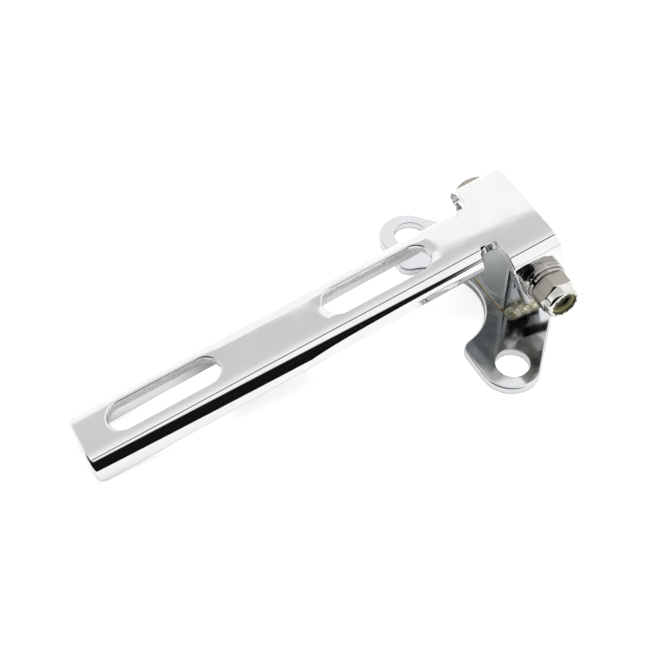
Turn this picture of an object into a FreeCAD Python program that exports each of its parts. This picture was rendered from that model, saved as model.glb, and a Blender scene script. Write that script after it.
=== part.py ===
import FreeCAD, Part
import math
import os
import Sketcher

# Chromed side stand with a bolt-on bracket, in the stowed position.
# The origin is the middle of the two mounting holes, on the mounting face (Z = 0).
# X runs from the foot towards the pivot, +Z away from the mounting face, and the
# pivot is parallel to Y, with the lock nut at its -Y end.

V = FreeCAD.Vector
Rotation = FreeCAD.Rotation
Placement = FreeCAD.Placement
AXIS_Z = V(0, 0, 1)
MATCH = 1e-6        # two coordinates closer than this are the same
OVERSHOOT = 1.0     # how far a cutting outline runs past the faces it cuts
LEAST_CUT = 0.01    # a cut that removes less volume than this has missed

# ---------------------------------------------------------------- dimensions (mm, degrees)
DIMENSIONS = {
    # base plate
    "base_thickness": 3.0,
    "hole_spacing": 71.0,
    "hole_diameter": 12.0,
    "lobe_radius": 11.0,
    "lobe_forward": 1.0,
    "scoop_radius": 19.7,
    "scoop_centre": 12.4,
    "scoop_corner": 4.0,
    "rear_corner_x": 22.0,
    "rear_corner_y": 13.0,
    "rear_corner_radius": 9.0,
    "base_edge_round": 0.8,
    # upright bracket
    "pivot_x": 18.3,
    "pivot_height": 24.8,
    "bracket_front": 9.5,
    "bracket_width": 30.0,
    "bracket_wall": 3.5,
    "bracket_corner": 3.0,
    "bracket_top_radius": 10.7,
    "bracket_lean": 12.0,
    "weld_leg": 3.2,
    "weld_bulge": 0.35,
    "weld_start": 11.5,
    "weld_length": 12.0,
    # pivot
    "bolt_diameter": 8.0,
    "bolt_tip": 33.4,
    "tip_chamfer": 0.6,
    "sleeve_diameter": 12.0,
    "sleeve_bore": 8.1,
    "washer_bore": 8.4,
    "thrust_diameter": 17.0,
    "thrust_thickness": 1.8,
    "thrust_gap": 0.1,
    "flat_diameter": 16.0,
    "flat_thickness": 1.6,
    "spring_diameter": 14.6,
    "spring_thickness": 1.4,
    "spring_split": 1.2,
    "spring_slant": 20.0,
    "hex_flats": 13.0,
    "hex_corner_angle": 30.0,
    "head_turn": 58.0,
    "nut_turn": 52.0,
    "head_height": 5.3,
    "nut_hex_height": 6.4,
    "nut_height": 10.0,
    "nut_bore": 8.05,
    "collar_diameter": 12.7,
    "collar_round": 1.3,
    "collar_mouth": 10.8,
    "insert_diameter": 11.6,
    "insert_bore": 7.4,
    "insert_thickness": 2.0,
    "insert_depth": 0.5,
    # leg
    "leg_wall": 4.5,
    "leg_top": 15.6,
    "leg_length": 167.0,
    "arm_width": 24.8,
    "arm_start": 16.5,
    "arm_depth_pivot": 9.7,
    "arm_depth_foot": 12.9,
    "shoulder_radius": 7.2,
    "foot_round": 4.0,
    "neck_width": 19.0,
    "yoke_width": 43.0,
    "yoke_front": 10.3,
    "yoke_rear": 8.9,
    "ear_radius": 9.1,
    "ear_back": 0.7,
    "ear_drop": 1.2,
    "ear_bore": 8.2,
    "slot_width": 11.6,
    "slot_centres": 30.0,
    "slot_near": 37.0,
    "slot_far": 119.5,
}

doc = FreeCAD.newDocument("kickstand")
sheet = doc.addObject("Spreadsheet::Sheet", "sheet")
for row, (alias, value) in enumerate(DIMENSIONS.items(), start=1):
    sheet.set("A%d" % row, alias)
    sheet.set("B%d" % row, str(value))
    sheet.setAlias("B%d" % row, alias)
doc.recompute()


def dim(alias):
    """The value of one cell of the sheet."""
    return float(sheet.get(alias))


# ---------------------------------------------------------------- building helpers
SUB_PARTS = []


def new_body(label):
    """A PartDesign body that becomes one sub-part."""
    body = doc.addObject("PartDesign::Body", label + "_body")
    body.Label = label
    SUB_PARTS.append(body)
    return body


def new_sketch(body, name, role, offset=0.0):
    """An empty sketch on one of the body's own planes, shifted along its normal."""
    sketch = body.newObject("Sketcher::SketchObject", name)
    plane = [item for item in body.Origin.OriginFeatures if item.Role == role][0]
    sketch.AttachmentSupport = [(plane, "")]
    sketch.MapMode = "FlatFace"
    sketch.AttachmentOffset = Placement(V(0, 0, offset), Rotation())
    return sketch


def line(start, end):
    return Part.LineSegment(V(*start, 0), V(*end, 0))


def arc(start, middle, end):
    return Part.Arc(V(*start, 0), V(*middle, 0), V(*end, 0))


def draw(sketch, edges):
    """Adds a closed chain of edges and joins each to the next where their ends meet."""
    for edge in edges:
        sketch.addGeometry(edge)
    for index in range(len(edges)):
        following = (index + 1) % len(edges)
        for end, start in ((2, 1), (2, 2), (1, 1), (1, 2)):
            gap = sketch.getPoint(index, end) - sketch.getPoint(following, start)
            if gap.Length < MATCH:
                joint = Sketcher.Constraint("Coincident", index, end, following, start)
                sketch.addConstraint(joint)
                break
        else:
            raise ValueError(sketch.Name + " is open after edge %d" % index)


def polygon(points):
    """Straight edges round a closed outline."""
    return [line(points[i], points[(i + 1) % len(points)]) for i in range(len(points))]


def bind_radius(sketch, index, alias, share=1.0):
    """Ties the radius of one arc of a sketch to a cell of the sheet, or to a share of it."""
    name = "r_%s_%d" % (alias, index)
    sketch.addConstraint(Sketcher.Constraint("Radius", index, dim(alias) * share))
    sketch.renameConstraint(sketch.ConstraintCount - 1, name)
    sketch.setExpression("Constraints." + name, "sheet.%s * %g" % (alias, share))


def place_point(sketch, index, point, x, y, x_rule, y_rule):
    """Ties a point of a sketch to the origin by rules in the sheet's names."""
    for kind, value, rule in (("DistanceX", x, x_rule), ("DistanceY", y, y_rule)):
        if value == 0:
            on_axis = -2 if kind == "DistanceX" else -1
            sketch.addConstraint(Sketcher.Constraint("PointOnObject", index, point, on_axis))
            continue
        ends = (-1, 1, index, point) if value > 0 else (index, point, -1, 1)
        sketch.addConstraint(Sketcher.Constraint(kind, *ends, abs(value)))
        name = "%s_%d" % (kind, index)
        sketch.renameConstraint(sketch.ConstraintCount - 1, name)
        sketch.setExpression("Constraints." + name, rule)


def circle(sketch, x, y, diameter_alias, x_rule="0", y_rule="0"):
    """A circle with its centre and its diameter tied to the sheet."""
    index = sketch.addGeometry(Part.Circle(V(x, y, 0), AXIS_Z, dim(diameter_alias) / 2))
    place_point(sketch, index, 3, x, y, x_rule, y_rule)
    sketch.addConstraint(Sketcher.Constraint("Diameter", index, dim(diameter_alias)))
    name = "diameter_%d" % index
    sketch.renameConstraint(sketch.ConstraintCount - 1, name)
    sketch.setExpression("Constraints." + name, "sheet." + diameter_alias)


def pad(body, sketch, rule, symmetric=False, backwards=False):
    feature = body.newObject("PartDesign::Pad", sketch.Name + "_pad")
    feature.Profile = sketch
    feature.SideType = "Symmetric" if symmetric else "One side"
    feature.Reversed = backwards
    feature.setExpression("Length", rule)
    doc.recompute()
    sketch.Visibility = False
    return feature


def pocket(body, sketch, symmetric=False, backwards=False):
    """Cuts right through the body and makes sure that something was removed."""
    volume = body.Shape.Volume
    feature = body.newObject("PartDesign::Pocket", sketch.Name + "_pocket")
    feature.Profile = sketch
    feature.Type = "ThroughAll"
    feature.SideType = "Symmetric" if symmetric else "One side"
    feature.Reversed = backwards
    doc.recompute()
    sketch.Visibility = False
    if body.Shape.Volume > volume - LEAST_CUT:
        raise ValueError(sketch.Name + " cut nothing")


def picked(base, chosen):
    """A feature with the names of those of its edges that the test picks."""
    return (base, ["Edge%d" % (i + 1) for i, edge in enumerate(base.Shape.Edges) if chosen(edge)])


def round_edges(body, base, name, radius_alias, chosen):
    """Fillets the edges of a feature that the test picks."""
    feature = body.newObject("PartDesign::Fillet", name)
    feature.Base = picked(base, chosen)
    feature.setExpression("Radius", "sheet." + radius_alias)
    doc.recompute()


def lies_at(edge, axis, value):
    """Whether both ends of an edge have this coordinate, where axis is 0, 1 or 2."""
    return all(abs(vertex.Point[axis] - value) < MATCH for vertex in edge.Vertexes)


def cylinder(name, radius_rule, height_rule):
    """A Part cylinder that stands on its local Z axis."""
    item = doc.addObject("Part::Cylinder", name)
    item.setExpression("Radius", radius_rule)
    item.setExpression("Height", height_rule)
    return item


def cut_away(name, base, tool):
    item = doc.addObject("Part::Cut", name)
    item.Base = base
    item.Tool = tool
    return item


def unit(point):
    length = math.hypot(*point)
    return (point[0] / length, point[1] / length)


def offset_point(centre, direction, distance):
    """The point at a distance from a centre, in a direction of length one."""
    return (centre[0] + distance * direction[0], centre[1] + distance * direction[1])


def rounding(centre, radius, first, second):
    """The short arc of a circle between two directions from its centre."""
    middle = unit((first[0] + second[0], first[1] + second[1]))
    return arc(offset_point(centre, first, radius), offset_point(centre, middle, radius),
               offset_point(centre, second, radius))


# ---------------------------------------------------------------- base plate
def base_half_outline():
    """The plate's edge on its +Y side, from the end of the scoop to the rear."""
    radius = dim("lobe_radius")
    lobe = (-dim("lobe_forward"), dim("hole_spacing") / 2)
    corner_radius = dim("scoop_corner")
    scoop = (-dim("scoop_centre"), 0.0)
    reach = dim("scoop_radius") + corner_radius
    corner_x = lobe[0] - radius + corner_radius
    corner = (corner_x, math.sqrt(reach ** 2 - (corner_x - scoop[0]) ** 2))
    to_scoop = unit((scoop[0] - corner[0], scoop[1] - corner[1]))
    rear = (dim("rear_corner_x"), dim("rear_corner_y"))
    rear_radius = dim("rear_corner_radius")
    # the straight edge touches the lobe and the rear corner on their outer sides
    span = (rear[0] - lobe[0], rear[1] - lobe[1])
    heading = math.atan2(span[1], span[0]) + math.acos((radius - rear_radius) / math.hypot(*span))
    outward = (math.cos(heading), math.sin(heading))
    return [
        rounding(corner, corner_radius, to_scoop, (-1, 0)),
        line((corner[0] - corner_radius, corner[1]), (lobe[0] - radius, lobe[1])),
        arc((lobe[0] - radius, lobe[1]), (lobe[0], lobe[1] + radius),
            offset_point(lobe, outward, radius)),
        line(offset_point(lobe, outward, radius), offset_point(rear, outward, rear_radius)),
        rounding(rear, rear_radius, outward, (1, 0)),
    ]


def mirrored(edge):
    """The same edge on the -Y side, run the other way round."""
    start = edge.StartPoint
    end = edge.EndPoint
    if isinstance(edge, Part.LineSegment):
        return line((end.x, -end.y), (start.x, -start.y))
    middle = edge.value((edge.FirstParameter + edge.LastParameter) / 2)
    return arc((end.x, -end.y), (middle.x, -middle.y), (start.x, -start.y))


def make_base_plate():
    body = new_body("base_plate")
    upper = base_half_outline()
    lower = [mirrored(edge) for edge in reversed(upper)]
    rear = upper[-1].EndPoint
    tip = upper[0].StartPoint
    deepest = dim("scoop_radius") - dim("scoop_centre")
    edges = upper + [line((rear.x, rear.y), (rear.x, -rear.y))] + lower
    edges.append(arc((tip.x, -tip.y), (deepest, 0), (tip.x, tip.y)))
    sketch = new_sketch(body, "base_outline", "XY_Plane")
    draw(sketch, edges)
    for index, alias in ((0, "scoop_corner"), (2, "lobe_radius"), (4, "rear_corner_radius"),
                         (len(edges) - 1, "scoop_radius")):
        bind_radius(sketch, index, alias)
    plate = pad(body, sketch, "sheet.base_thickness")
    top = dim("base_thickness")
    round_edges(body, plate, "base_rim", "base_edge_round",
                lambda edge: lies_at(edge, 2, top))
    holes = new_sketch(body, "mounting_holes", "XY_Plane")
    for side in (-1, 1):
        circle(holes, 0, side * dim("hole_spacing") / 2, "hole_diameter",
               y_rule="sheet.hole_spacing / 2")
    pocket(body, holes, backwards=True)


# ---------------------------------------------------------------- upright bracket
def foot_height():
    """Height of the centre of the foot's rounded corner above the pivot, across the leg."""
    run = dim("leg_length") - dim("arm_start")
    slope = math.atan((dim("arm_depth_foot") - dim("arm_depth_pivot")) / run)
    edge = dim("leg_top") - dim("arm_depth_foot") + dim("foot_round") * math.tan(slope)
    return edge + dim("foot_round") / math.cos(slope)


def leg_tilt():
    """The angle in degrees that lays the foot's rounded corner on the mounting plane."""
    reach = dim("leg_length") - dim("foot_round")
    rise = foot_height()
    drop = dim("pivot_height") - dim("foot_round")
    return math.degrees(math.asin(drop / math.hypot(reach, rise)) + math.atan(rise / reach))


def make_bracket():
    body = new_body("pivot_bracket")
    pivot = (dim("pivot_x"), dim("pivot_height"))
    floor = dim("base_thickness")
    radius = dim("bracket_top_radius")
    tilt = math.radians(leg_tilt())
    lean = math.radians(dim("bracket_lean"))
    up = (-math.sin(tilt), math.cos(tilt))
    back = (math.cos(lean), -math.sin(lean))
    # the top slopes down to the front, parallel to the stowed leg, and the rear edge is
    # square to the leg's plate when the leg is right out
    crest = offset_point(pivot, up, radius)
    front = dim("bracket_front")
    front_top = (front, crest[1] - (crest[0] - front) * math.tan(tilt))
    heel = offset_point(pivot, back, radius)
    foot = (heel[0] - (heel[1] - floor) * math.tan(lean), floor)
    sketch = new_sketch(body, "cheek_outline", "XZ_Plane")
    draw(sketch, [
        line((front, floor), front_top),
        line(front_top, crest),
        rounding(pivot, radius, up, back),
        line(heel, foot),
        line(foot, (front, floor)),
    ])
    bind_radius(sketch, 2, "bracket_top_radius")
    block = pad(body, sketch, "sheet.bracket_width", symmetric=True)
    round_edges(body, block, "bracket_folds", "bracket_corner",
                lambda edge: lies_at(edge, 0, front) and not lies_at(edge, 2, floor)
                and not lies_at(edge, 2, front_top[1]))
    inside = dim("bracket_width") / 2 - dim("bracket_wall")
    web = front + dim("bracket_wall")
    behind = pivot[0] + 2 * radius
    hollow = new_sketch(body, "bracket_hollow", "XY_Plane")
    draw(hollow, polygon([(web, -inside), (behind, -inside), (behind, inside), (web, inside)]))
    pocket(body, hollow, backwards=True)
    bore = new_sketch(body, "sleeve_hole", "XZ_Plane")
    circle(bore, *pivot, "sleeve_diameter", x_rule="sheet.pivot_x", y_rule="sheet.pivot_height")
    pocket(body, bore, symmetric=True)


def make_weld(label, side):
    """A fillet weld along the foot of one cheek, with a slightly bulging face."""
    body = new_body(label)
    wall = side * dim("bracket_width") / 2
    floor = dim("base_thickness")
    leg = dim("weld_leg")
    toe = (wall + side * leg, floor)
    root_top = (wall, floor + leg)
    bulge = leg / 2 + dim("weld_bulge")
    sketch = new_sketch(body, label + "_section", "YZ_Plane")
    draw(sketch, [
        line((wall, floor), toe),
        arc(toe, (wall + side * bulge, floor + bulge), root_top),
        line(root_top, (wall, floor)),
    ])
    pad(body, sketch, "sheet.weld_length")
    body.setExpression("Placement.Base.x", "sheet.weld_start")


# ---------------------------------------------------------------- pivot hardware
def groove(body, name, outline):
    """Turns an outline of (radius, height) points about local Z and cuts it away."""
    volume = body.Shape.Volume
    sketch = new_sketch(body, name, "XZ_Plane")
    draw(sketch, polygon(outline))
    feature = body.newObject("PartDesign::Groove", name + "_groove")
    feature.Profile = sketch
    axis = [item for item in body.Origin.OriginFeatures if item.Role == "Z_Axis"][0]
    feature.ReferenceAxis = (axis, [""])
    feature.Angle = 360
    doc.recompute()
    if body.Shape.Volume > volume - LEAST_CUT:
        raise ValueError(name + " cut nothing")


def make_hexagon(body, name, height_alias):
    """A hexagon on the body's XY plane, from 0 up, with a corner on local X."""
    corner = dim("hex_flats") / math.sqrt(3)
    points = [(corner * math.cos(math.radians(turn)), corner * math.sin(math.radians(turn)))
              for turn in range(0, 360, 60)]
    sketch = new_sketch(body, name + "_hexagon", "XY_Plane")
    draw(sketch, polygon(points))
    for index in range(len(points)):
        place_point(sketch, index, 1, round(points[index][0], 6), round(points[index][1], 6),
                    "sheet.hex_flats / sqrt(3) * %.1f" % abs(math.cos(math.radians(60 * index))),
                    "sheet.hex_flats / 2")
    pad(body, sketch, "sheet." + height_alias)


def turn_corners(body, name, height, bottom, top):
    """Turns the hexagon's corners off on a cone at one end or both."""
    rim = dim("hex_flats") / 2
    outer = dim("hex_flats") / math.sqrt(3) + OVERSHOOT
    rise = (outer - rim) * math.tan(math.radians(dim("hex_corner_angle")))
    if bottom:
        groove(body, name + "_bottom", [(rim, -OVERSHOOT), (rim, 0), (outer, rise),
                                        (outer, -OVERSHOOT)])
    if top:
        groove(body, name + "_top", [(rim, height + OVERSHOOT), (rim, height),
                                     (outer, height - rise), (outer, height + OVERSHOOT)])


def make_bolt():
    body = new_body("pivot_bolt")
    head = dim("head_height")
    start = dim("yoke_width") / 2 + head
    make_hexagon(body, "head", "head_height")
    turn_corners(body, "head_corners", head, bottom=True, top=False)
    shank = new_sketch(body, "shank", "XY_Plane", offset=head)
    circle(shank, 0, 0, "bolt_diameter")
    rod = pad(body, shank, "sheet.yoke_width / 2 + sheet.bolt_tip")
    tip = start + dim("bolt_tip")
    chamfer = body.newObject("PartDesign::Chamfer", "bolt_tip_chamfer")
    chamfer.Base = picked(rod, lambda edge: lies_at(edge, 2, tip))
    chamfer.setExpression("Size", "sheet.tip_chamfer")
    place_on_pivot(body, start, dim("head_turn"))


def make_nut():
    body = new_body("lock_nut")
    height = dim("nut_height")
    make_hexagon(body, "nut", "nut_hex_height")
    turn_corners(body, "nut_corners", dim("nut_hex_height"), bottom=True, top=True)
    collar = new_sketch(body, "collar", "XY_Plane")
    circle(collar, 0, 0, "collar_diameter")
    barrel = pad(body, collar, "sheet.nut_height")
    round_edges(body, barrel, "collar_rim", "collar_round",
                lambda edge: lies_at(edge, 2, height))
    bore = dim("nut_bore") / 2
    chamber = dim("insert_diameter") / 2
    mouth = dim("collar_mouth") / 2
    lip = height - dim("insert_depth")
    shelf = lip - dim("insert_thickness")
    groove(body, "nut_bore", [(0, -OVERSHOOT), (bore, -OVERSHOOT), (bore, shelf), (chamber, shelf),
                              (chamber, lip), (mouth, lip), (mouth, height + OVERSHOOT),
                              (0, height + OVERSHOOT)])
    place_on_pivot(body, -nut_face(), dim("nut_turn"))


def nut_face():
    """Distance of the nut's bearing face from the middle plane."""
    return dim("yoke_width") / 2 + 2 * dim("flat_thickness") + dim("spring_thickness")


def place_on_pivot(item, y, turn=0.0):
    """Stands an item's local Z axis on the pivot, pointing along -Y from y."""
    across = Rotation(V(1, 0, 0), 90)
    place = V(dim("pivot_x"), y, dim("pivot_height"))
    item.Placement = Placement(place, across * Rotation(AXIS_Z, turn))
    item.setExpression("Placement.Base.x", "sheet.pivot_x")
    item.setExpression("Placement.Base.z", "sheet.pivot_height")


def plain_ring(name, outer, bore, height):
    """A flat ring on its local XY plane, from three cells of the sheet."""
    return cut_away(name, cylinder(name + "_outer", "sheet.%s / 2" % outer, "sheet." + height),
                    cylinder(name + "_bore", "sheet.%s / 2" % bore, "sheet." + height))


def finish_on_pivot(item, label, y, turn=0.0):
    """Names a ring, puts it on the pivot and makes it a sub-part."""
    item.Label = label
    place_on_pivot(item, y, turn)
    SUB_PARTS.append(item)


def ring(label, outer, bore, height, y):
    """A washer or a tube on the pivot, from y towards -Y."""
    finish_on_pivot(plain_ring(label + "_ring", outer, bore, height), label, y)


def make_spring_washer(y):
    """A ring that is cut through on a slant, as a split lock washer is."""
    whole = plain_ring("spring_ring", "spring_diameter", "washer_bore", "spring_thickness")
    gap = doc.addObject("Part::Box", "spring_gap")
    gap.setExpression("Length", "sheet.spring_diameter")
    gap.setExpression("Width", "sheet.spring_split")
    gap.setExpression("Height", "sheet.spring_diameter")
    gap.Placement = Placement(V(0, 0, -dim("spring_thickness")),
                              Rotation(V(1, 0, 0), dim("spring_slant")))
    finish_on_pivot(cut_away("spring_split", whole, gap), "spring_washer", y, dim("nut_turn"))


def make_pivot_hardware():
    cheek = dim("bracket_width") / 2
    ear = dim("yoke_width") / 2
    thickness = dim("flat_thickness")
    thrust = cheek + dim("thrust_gap")
    ring("pivot_sleeve", "sleeve_diameter", "sleeve_bore", "bracket_width", cheek)
    ring("thrust_washer_near", "thrust_diameter", "washer_bore", "thrust_thickness", -thrust)
    ring("thrust_washer_far", "thrust_diameter", "washer_bore", "thrust_thickness",
         thrust + dim("thrust_thickness"))
    ring("flat_washer_inner", "flat_diameter", "washer_bore", "flat_thickness", -ear)
    ring("flat_washer_outer", "flat_diameter", "washer_bore", "flat_thickness", -ear - thickness)
    make_spring_washer(-ear - 2 * thickness)
    make_bolt()
    make_nut()
    shelf = nut_face() + dim("nut_height") - dim("insert_depth") - dim("insert_thickness")
    ring("nylon_insert", "insert_diameter", "insert_bore", "insert_thickness", -shelf)


# ---------------------------------------------------------------- leg
# The leg is drawn level, with the pivot at its origin and the foot towards -X, then it is
# tilted about the pivot until the foot touches the mounting plane.
def make_yoke(body):
    """The wide end: a plate with large shoulders and two ears round the pivot."""
    top = dim("leg_top")
    front = -dim("yoke_front")
    rear = dim("yoke_rear")
    radius = dim("ear_radius")
    lobe = (dim("ear_back"), -dim("ear_drop"))
    spring_line = top - dim("shoulder_radius")
    front_turn = tangent_turn((front, spring_line), lobe, radius, -1)
    rear_turn = tangent_turn((rear + dim("ear_back"), spring_line), lobe, radius, 1)
    front_touch = offset_point(lobe, front_turn, radius)
    rear_touch = offset_point(lobe, rear_turn, radius)
    sketch = new_sketch(body, "yoke_side", "XZ_Plane")
    draw(sketch, [
        line((front, spring_line), (front, top)),
        line((front, top), (rear, top)),
        line((rear, top), (rear + dim("ear_back"), spring_line)),
        line((rear + dim("ear_back"), spring_line), rear_touch),
        arc(rear_touch, (lobe[0], lobe[1] - radius), front_touch),
        line(front_touch, (front, spring_line)),
    ])
    bind_radius(sketch, 4, "ear_radius")
    block = pad(body, sketch, "sheet.yoke_width", symmetric=True)
    half = dim("yoke_width") / 2
    round_edges(body, block, "yoke_shoulders", "shoulder_radius",
                lambda edge: lies_at(edge, 2, top)
                and (lies_at(edge, 1, half) or lies_at(edge, 1, -half)))
    hollow = new_sketch(body, "yoke_hollow", "YZ_Plane")
    draw(hollow, arch(half - dim("leg_wall"), top - dim("leg_wall"), -2 * radius))
    pocket(body, hollow, symmetric=True)
    bore = new_sketch(body, "ear_holes", "XZ_Plane")
    circle(bore, 0, 0, "ear_bore")
    pocket(body, bore, symmetric=True)


def tangent_turn(point, centre, radius, side):
    """Direction from a circle's centre to where a line from a point above touches it."""
    away = (point[0] - centre[0], point[1] - centre[1])
    heading = math.atan2(away[1], away[0]) - side * math.acos(radius / math.hypot(*away))
    return (math.cos(heading), math.sin(heading))


def arch(half, crown, bottom):
    """The opening under a plate whose sides are folded down, rounded inside the folds."""
    fold = dim("shoulder_radius") - dim("leg_wall")
    shift = fold * math.sqrt(0.5)
    left = (-half + fold, crown - fold)
    right = (half - fold, crown - fold)
    return [
        line((-half, bottom), (-half, crown - fold)),
        arc((-half, crown - fold), (left[0] - shift, left[1] + shift), (-half + fold, crown)),
        line((-half + fold, crown), (half - fold, crown)),
        arc((half - fold, crown), (right[0] + shift, right[1] + shift), (half, crown - fold)),
        line((half, crown - fold), (half, bottom)),
        line((half, bottom), (-half, bottom)),
    ]


def arm_section():
    """A channel that is open below: folded plate with large outer shoulders."""
    half = dim("arm_width") / 2
    top = dim("leg_top")
    radius = dim("shoulder_radius")
    shift = radius * math.sqrt(0.5)
    bottom = top - dim("arm_depth_foot")
    opening = arch(half - dim("leg_wall"), top - dim("leg_wall"), bottom)[:-1]
    return [
        line((-half + dim("leg_wall"), bottom), (-half, bottom)),
        line((-half, bottom), (-half, top - radius)),
        arc((-half, top - radius), (-half + radius - shift, top - radius + shift),
            (-half + radius, top)),
        line((-half + radius, top), (half - radius, top)),
        arc((half - radius, top), (half - radius + shift, top - radius + shift),
            (half, top - radius)),
        line((half, top - radius), (half, bottom)),
        line((half, bottom), (half - dim("leg_wall"), bottom)),
    ] + [reversed_edge(edge) for edge in reversed(opening)]


def reversed_edge(edge):
    start = edge.StartPoint
    end = edge.EndPoint
    if isinstance(edge, Part.LineSegment):
        return line((end.x, end.y), (start.x, start.y))
    middle = edge.value((edge.FirstParameter + edge.LastParameter) / 2)
    return arc((end.x, end.y), (middle.x, middle.y), (start.x, start.y))


def neck_section(crown_drop):
    """The plate between the two notches, with its top edges lowered as far as the fold does."""
    half = dim("neck_width") / 2
    top = dim("leg_top")
    bottom = top - dim("leg_wall")
    flat = dim("arm_width") / 2 - dim("shoulder_radius")
    edge = top - crown_drop
    points = [(-half, bottom), (-half, edge), (-flat, top), (flat, top), (half, edge),
              (half, bottom)]
    sides = polygon(points)
    if crown_drop:
        reach = (half + flat) / 2
        radius = dim("shoulder_radius")
        sag = top - radius + math.sqrt(radius ** 2 - (reach - flat) ** 2)
        sides[1] = arc((-half, edge), (-reach, sag), (-flat, top))
        sides[3] = arc((flat, top), (reach, sag), (half, edge))
    return sides


def make_neck(body):
    """The short plate that joins the channel to the yoke, between the relief notches."""
    reach = dim("neck_width") / 2 - dim("arm_width") / 2 + dim("shoulder_radius")
    radius = dim("shoulder_radius")
    drop = radius - math.sqrt(radius ** 2 - reach ** 2)
    at_arm = new_sketch(body, "neck_at_arm", "YZ_Plane", offset=-dim("arm_start"))
    draw(at_arm, neck_section(drop))
    at_yoke = new_sketch(body, "neck_at_yoke", "YZ_Plane", offset=-dim("yoke_front"))
    draw(at_yoke, neck_section(0))
    doc.recompute()
    loft = body.newObject("PartDesign::AdditiveLoft", "neck_loft")
    loft.Profile = at_arm
    loft.Sections = [at_yoke]
    loft.Ruled = True
    doc.recompute()


def make_arm(body):
    """The channel, with flanges that deepen towards a rounded foot."""
    sketch = new_sketch(body, "arm_section", "YZ_Plane", offset=-dim("arm_start"))
    draw(sketch, arm_section())
    for index in (2, 4):
        bind_radius(sketch, index, "shoulder_radius")
    pad(body, sketch, "sheet.leg_length - sheet.arm_start", backwards=True)
    end = -dim("leg_length")
    start = -dim("arm_start")
    top = dim("leg_top")
    start_edge = top - dim("arm_depth_pivot")
    end_edge = top - dim("arm_depth_foot")
    slope = math.atan((start_edge - end_edge) / (start - end))
    radius = dim("foot_round")
    centre = (end + radius, foot_height())
    touch = offset_point(centre, (math.sin(slope), -math.cos(slope)), radius)
    below = end_edge - radius
    trim = new_sketch(body, "flange_trim", "XZ_Plane")
    draw(trim, [
        line((start, start_edge), touch),
        rounding(centre, radius, (math.sin(slope), -math.cos(slope)), (-1, 0)),
        line((end, centre[1]), (end - OVERSHOOT, centre[1])),
        line((end - OVERSHOOT, centre[1]), (end - OVERSHOOT, below)),
        line((end - OVERSHOOT, below), (start, below)),
        line((start, below), (start, start_edge)),
    ])
    bind_radius(trim, 1, "foot_round")
    pocket(body, trim, symmetric=True)


def make_slots(body):
    """Two obround slots along the middle of the arm."""
    radius = dim("slot_width") / 2
    sketch = new_sketch(body, "leg_slots", "XY_Plane")
    for nearest in (dim("slot_near"), dim("slot_far")):
        right = -nearest
        left = right - dim("slot_centres")
        first = sketch.GeometryCount
        for edge in (line((right, radius), (left, radius)),
                     arc((left, radius), (left - radius, 0), (left, -radius)),
                     line((left, -radius), (right, -radius)),
                     arc((right, -radius), (right + radius, 0), (right, radius))):
            sketch.addGeometry(edge)
        bind_radius(sketch, first + 1, "slot_width", share=0.5)
        bind_radius(sketch, first + 3, "slot_width", share=0.5)
    pocket(body, sketch, backwards=True)


def make_leg():
    body = new_body("leg")
    make_yoke(body)
    make_arm(body)
    make_neck(body)
    make_slots(body)
    body.Placement = Placement(V(dim("pivot_x"), 0, dim("pivot_height")),
                               Rotation(V(0, 1, 0), -leg_tilt()))
    body.setExpression("Placement.Base.x", "sheet.pivot_x")
    body.setExpression("Placement.Base.z", "sheet.pivot_height")


# ---------------------------------------------------------------- build, test and write
def check_model():
    """Stops before anything is written if an object failed or a sub-part is not sound."""
    for item in doc.Objects:
        if "Invalid" in item.State or "Error" in item.State:
            raise ValueError("%s did not compute: %s" % (item.Name, item.State))
    for item in SUB_PARTS:
        if item.Shape.isNull() or not item.Shape.isValid() or not item.Shape.Solids:
            raise ValueError(item.Label + " has no sound solid")


make_base_plate()
make_bracket()
make_weld("weld_bead_near", -1)
make_weld("weld_bead_far", 1)
make_pivot_hardware()
make_leg()
doc.recompute()
check_model()

os.makedirs("parts", exist_ok=True)
for item in SUB_PARTS:
    item.Shape.exportStep("parts/%s.step" % item.Label)
    box = item.Shape.optimalBoundingBox(False, False)
    print("%-20s %d solid(s) %9.1f mm3  X %7.2f %7.2f  Y %7.2f %7.2f  Z %6.2f %6.2f" % (
        item.Label, len(item.Shape.Solids), item.Shape.Volume, box.XMin, box.XMax,
        box.YMin, box.YMax, box.ZMin, box.ZMax))
print("leg tilt %.3f degrees" % leg_tilt())
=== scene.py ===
import math
from itertools import product

import bpy
import numpy as np
from mathutils import Matrix, Vector


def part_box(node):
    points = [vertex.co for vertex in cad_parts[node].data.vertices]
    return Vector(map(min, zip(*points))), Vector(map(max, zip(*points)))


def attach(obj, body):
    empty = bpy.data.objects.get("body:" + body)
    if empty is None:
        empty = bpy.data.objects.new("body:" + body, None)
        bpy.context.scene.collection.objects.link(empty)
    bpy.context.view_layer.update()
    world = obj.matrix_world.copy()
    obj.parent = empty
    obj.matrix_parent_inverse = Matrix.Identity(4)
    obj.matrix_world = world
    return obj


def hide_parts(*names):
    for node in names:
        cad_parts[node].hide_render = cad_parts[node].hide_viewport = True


# A chromed side stand on a bolt-on bracket. Shapes are worked out in millimetres as fields that
# are negative inside the metal, and each field's surface becomes one mesh.

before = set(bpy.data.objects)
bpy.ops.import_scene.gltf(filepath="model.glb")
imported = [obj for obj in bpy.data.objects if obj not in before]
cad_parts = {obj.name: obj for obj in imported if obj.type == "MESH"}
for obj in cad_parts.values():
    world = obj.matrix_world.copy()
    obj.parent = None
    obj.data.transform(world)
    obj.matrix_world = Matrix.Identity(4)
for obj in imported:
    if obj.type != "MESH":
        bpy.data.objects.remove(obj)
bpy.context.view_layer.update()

MM = 0.001


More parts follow.
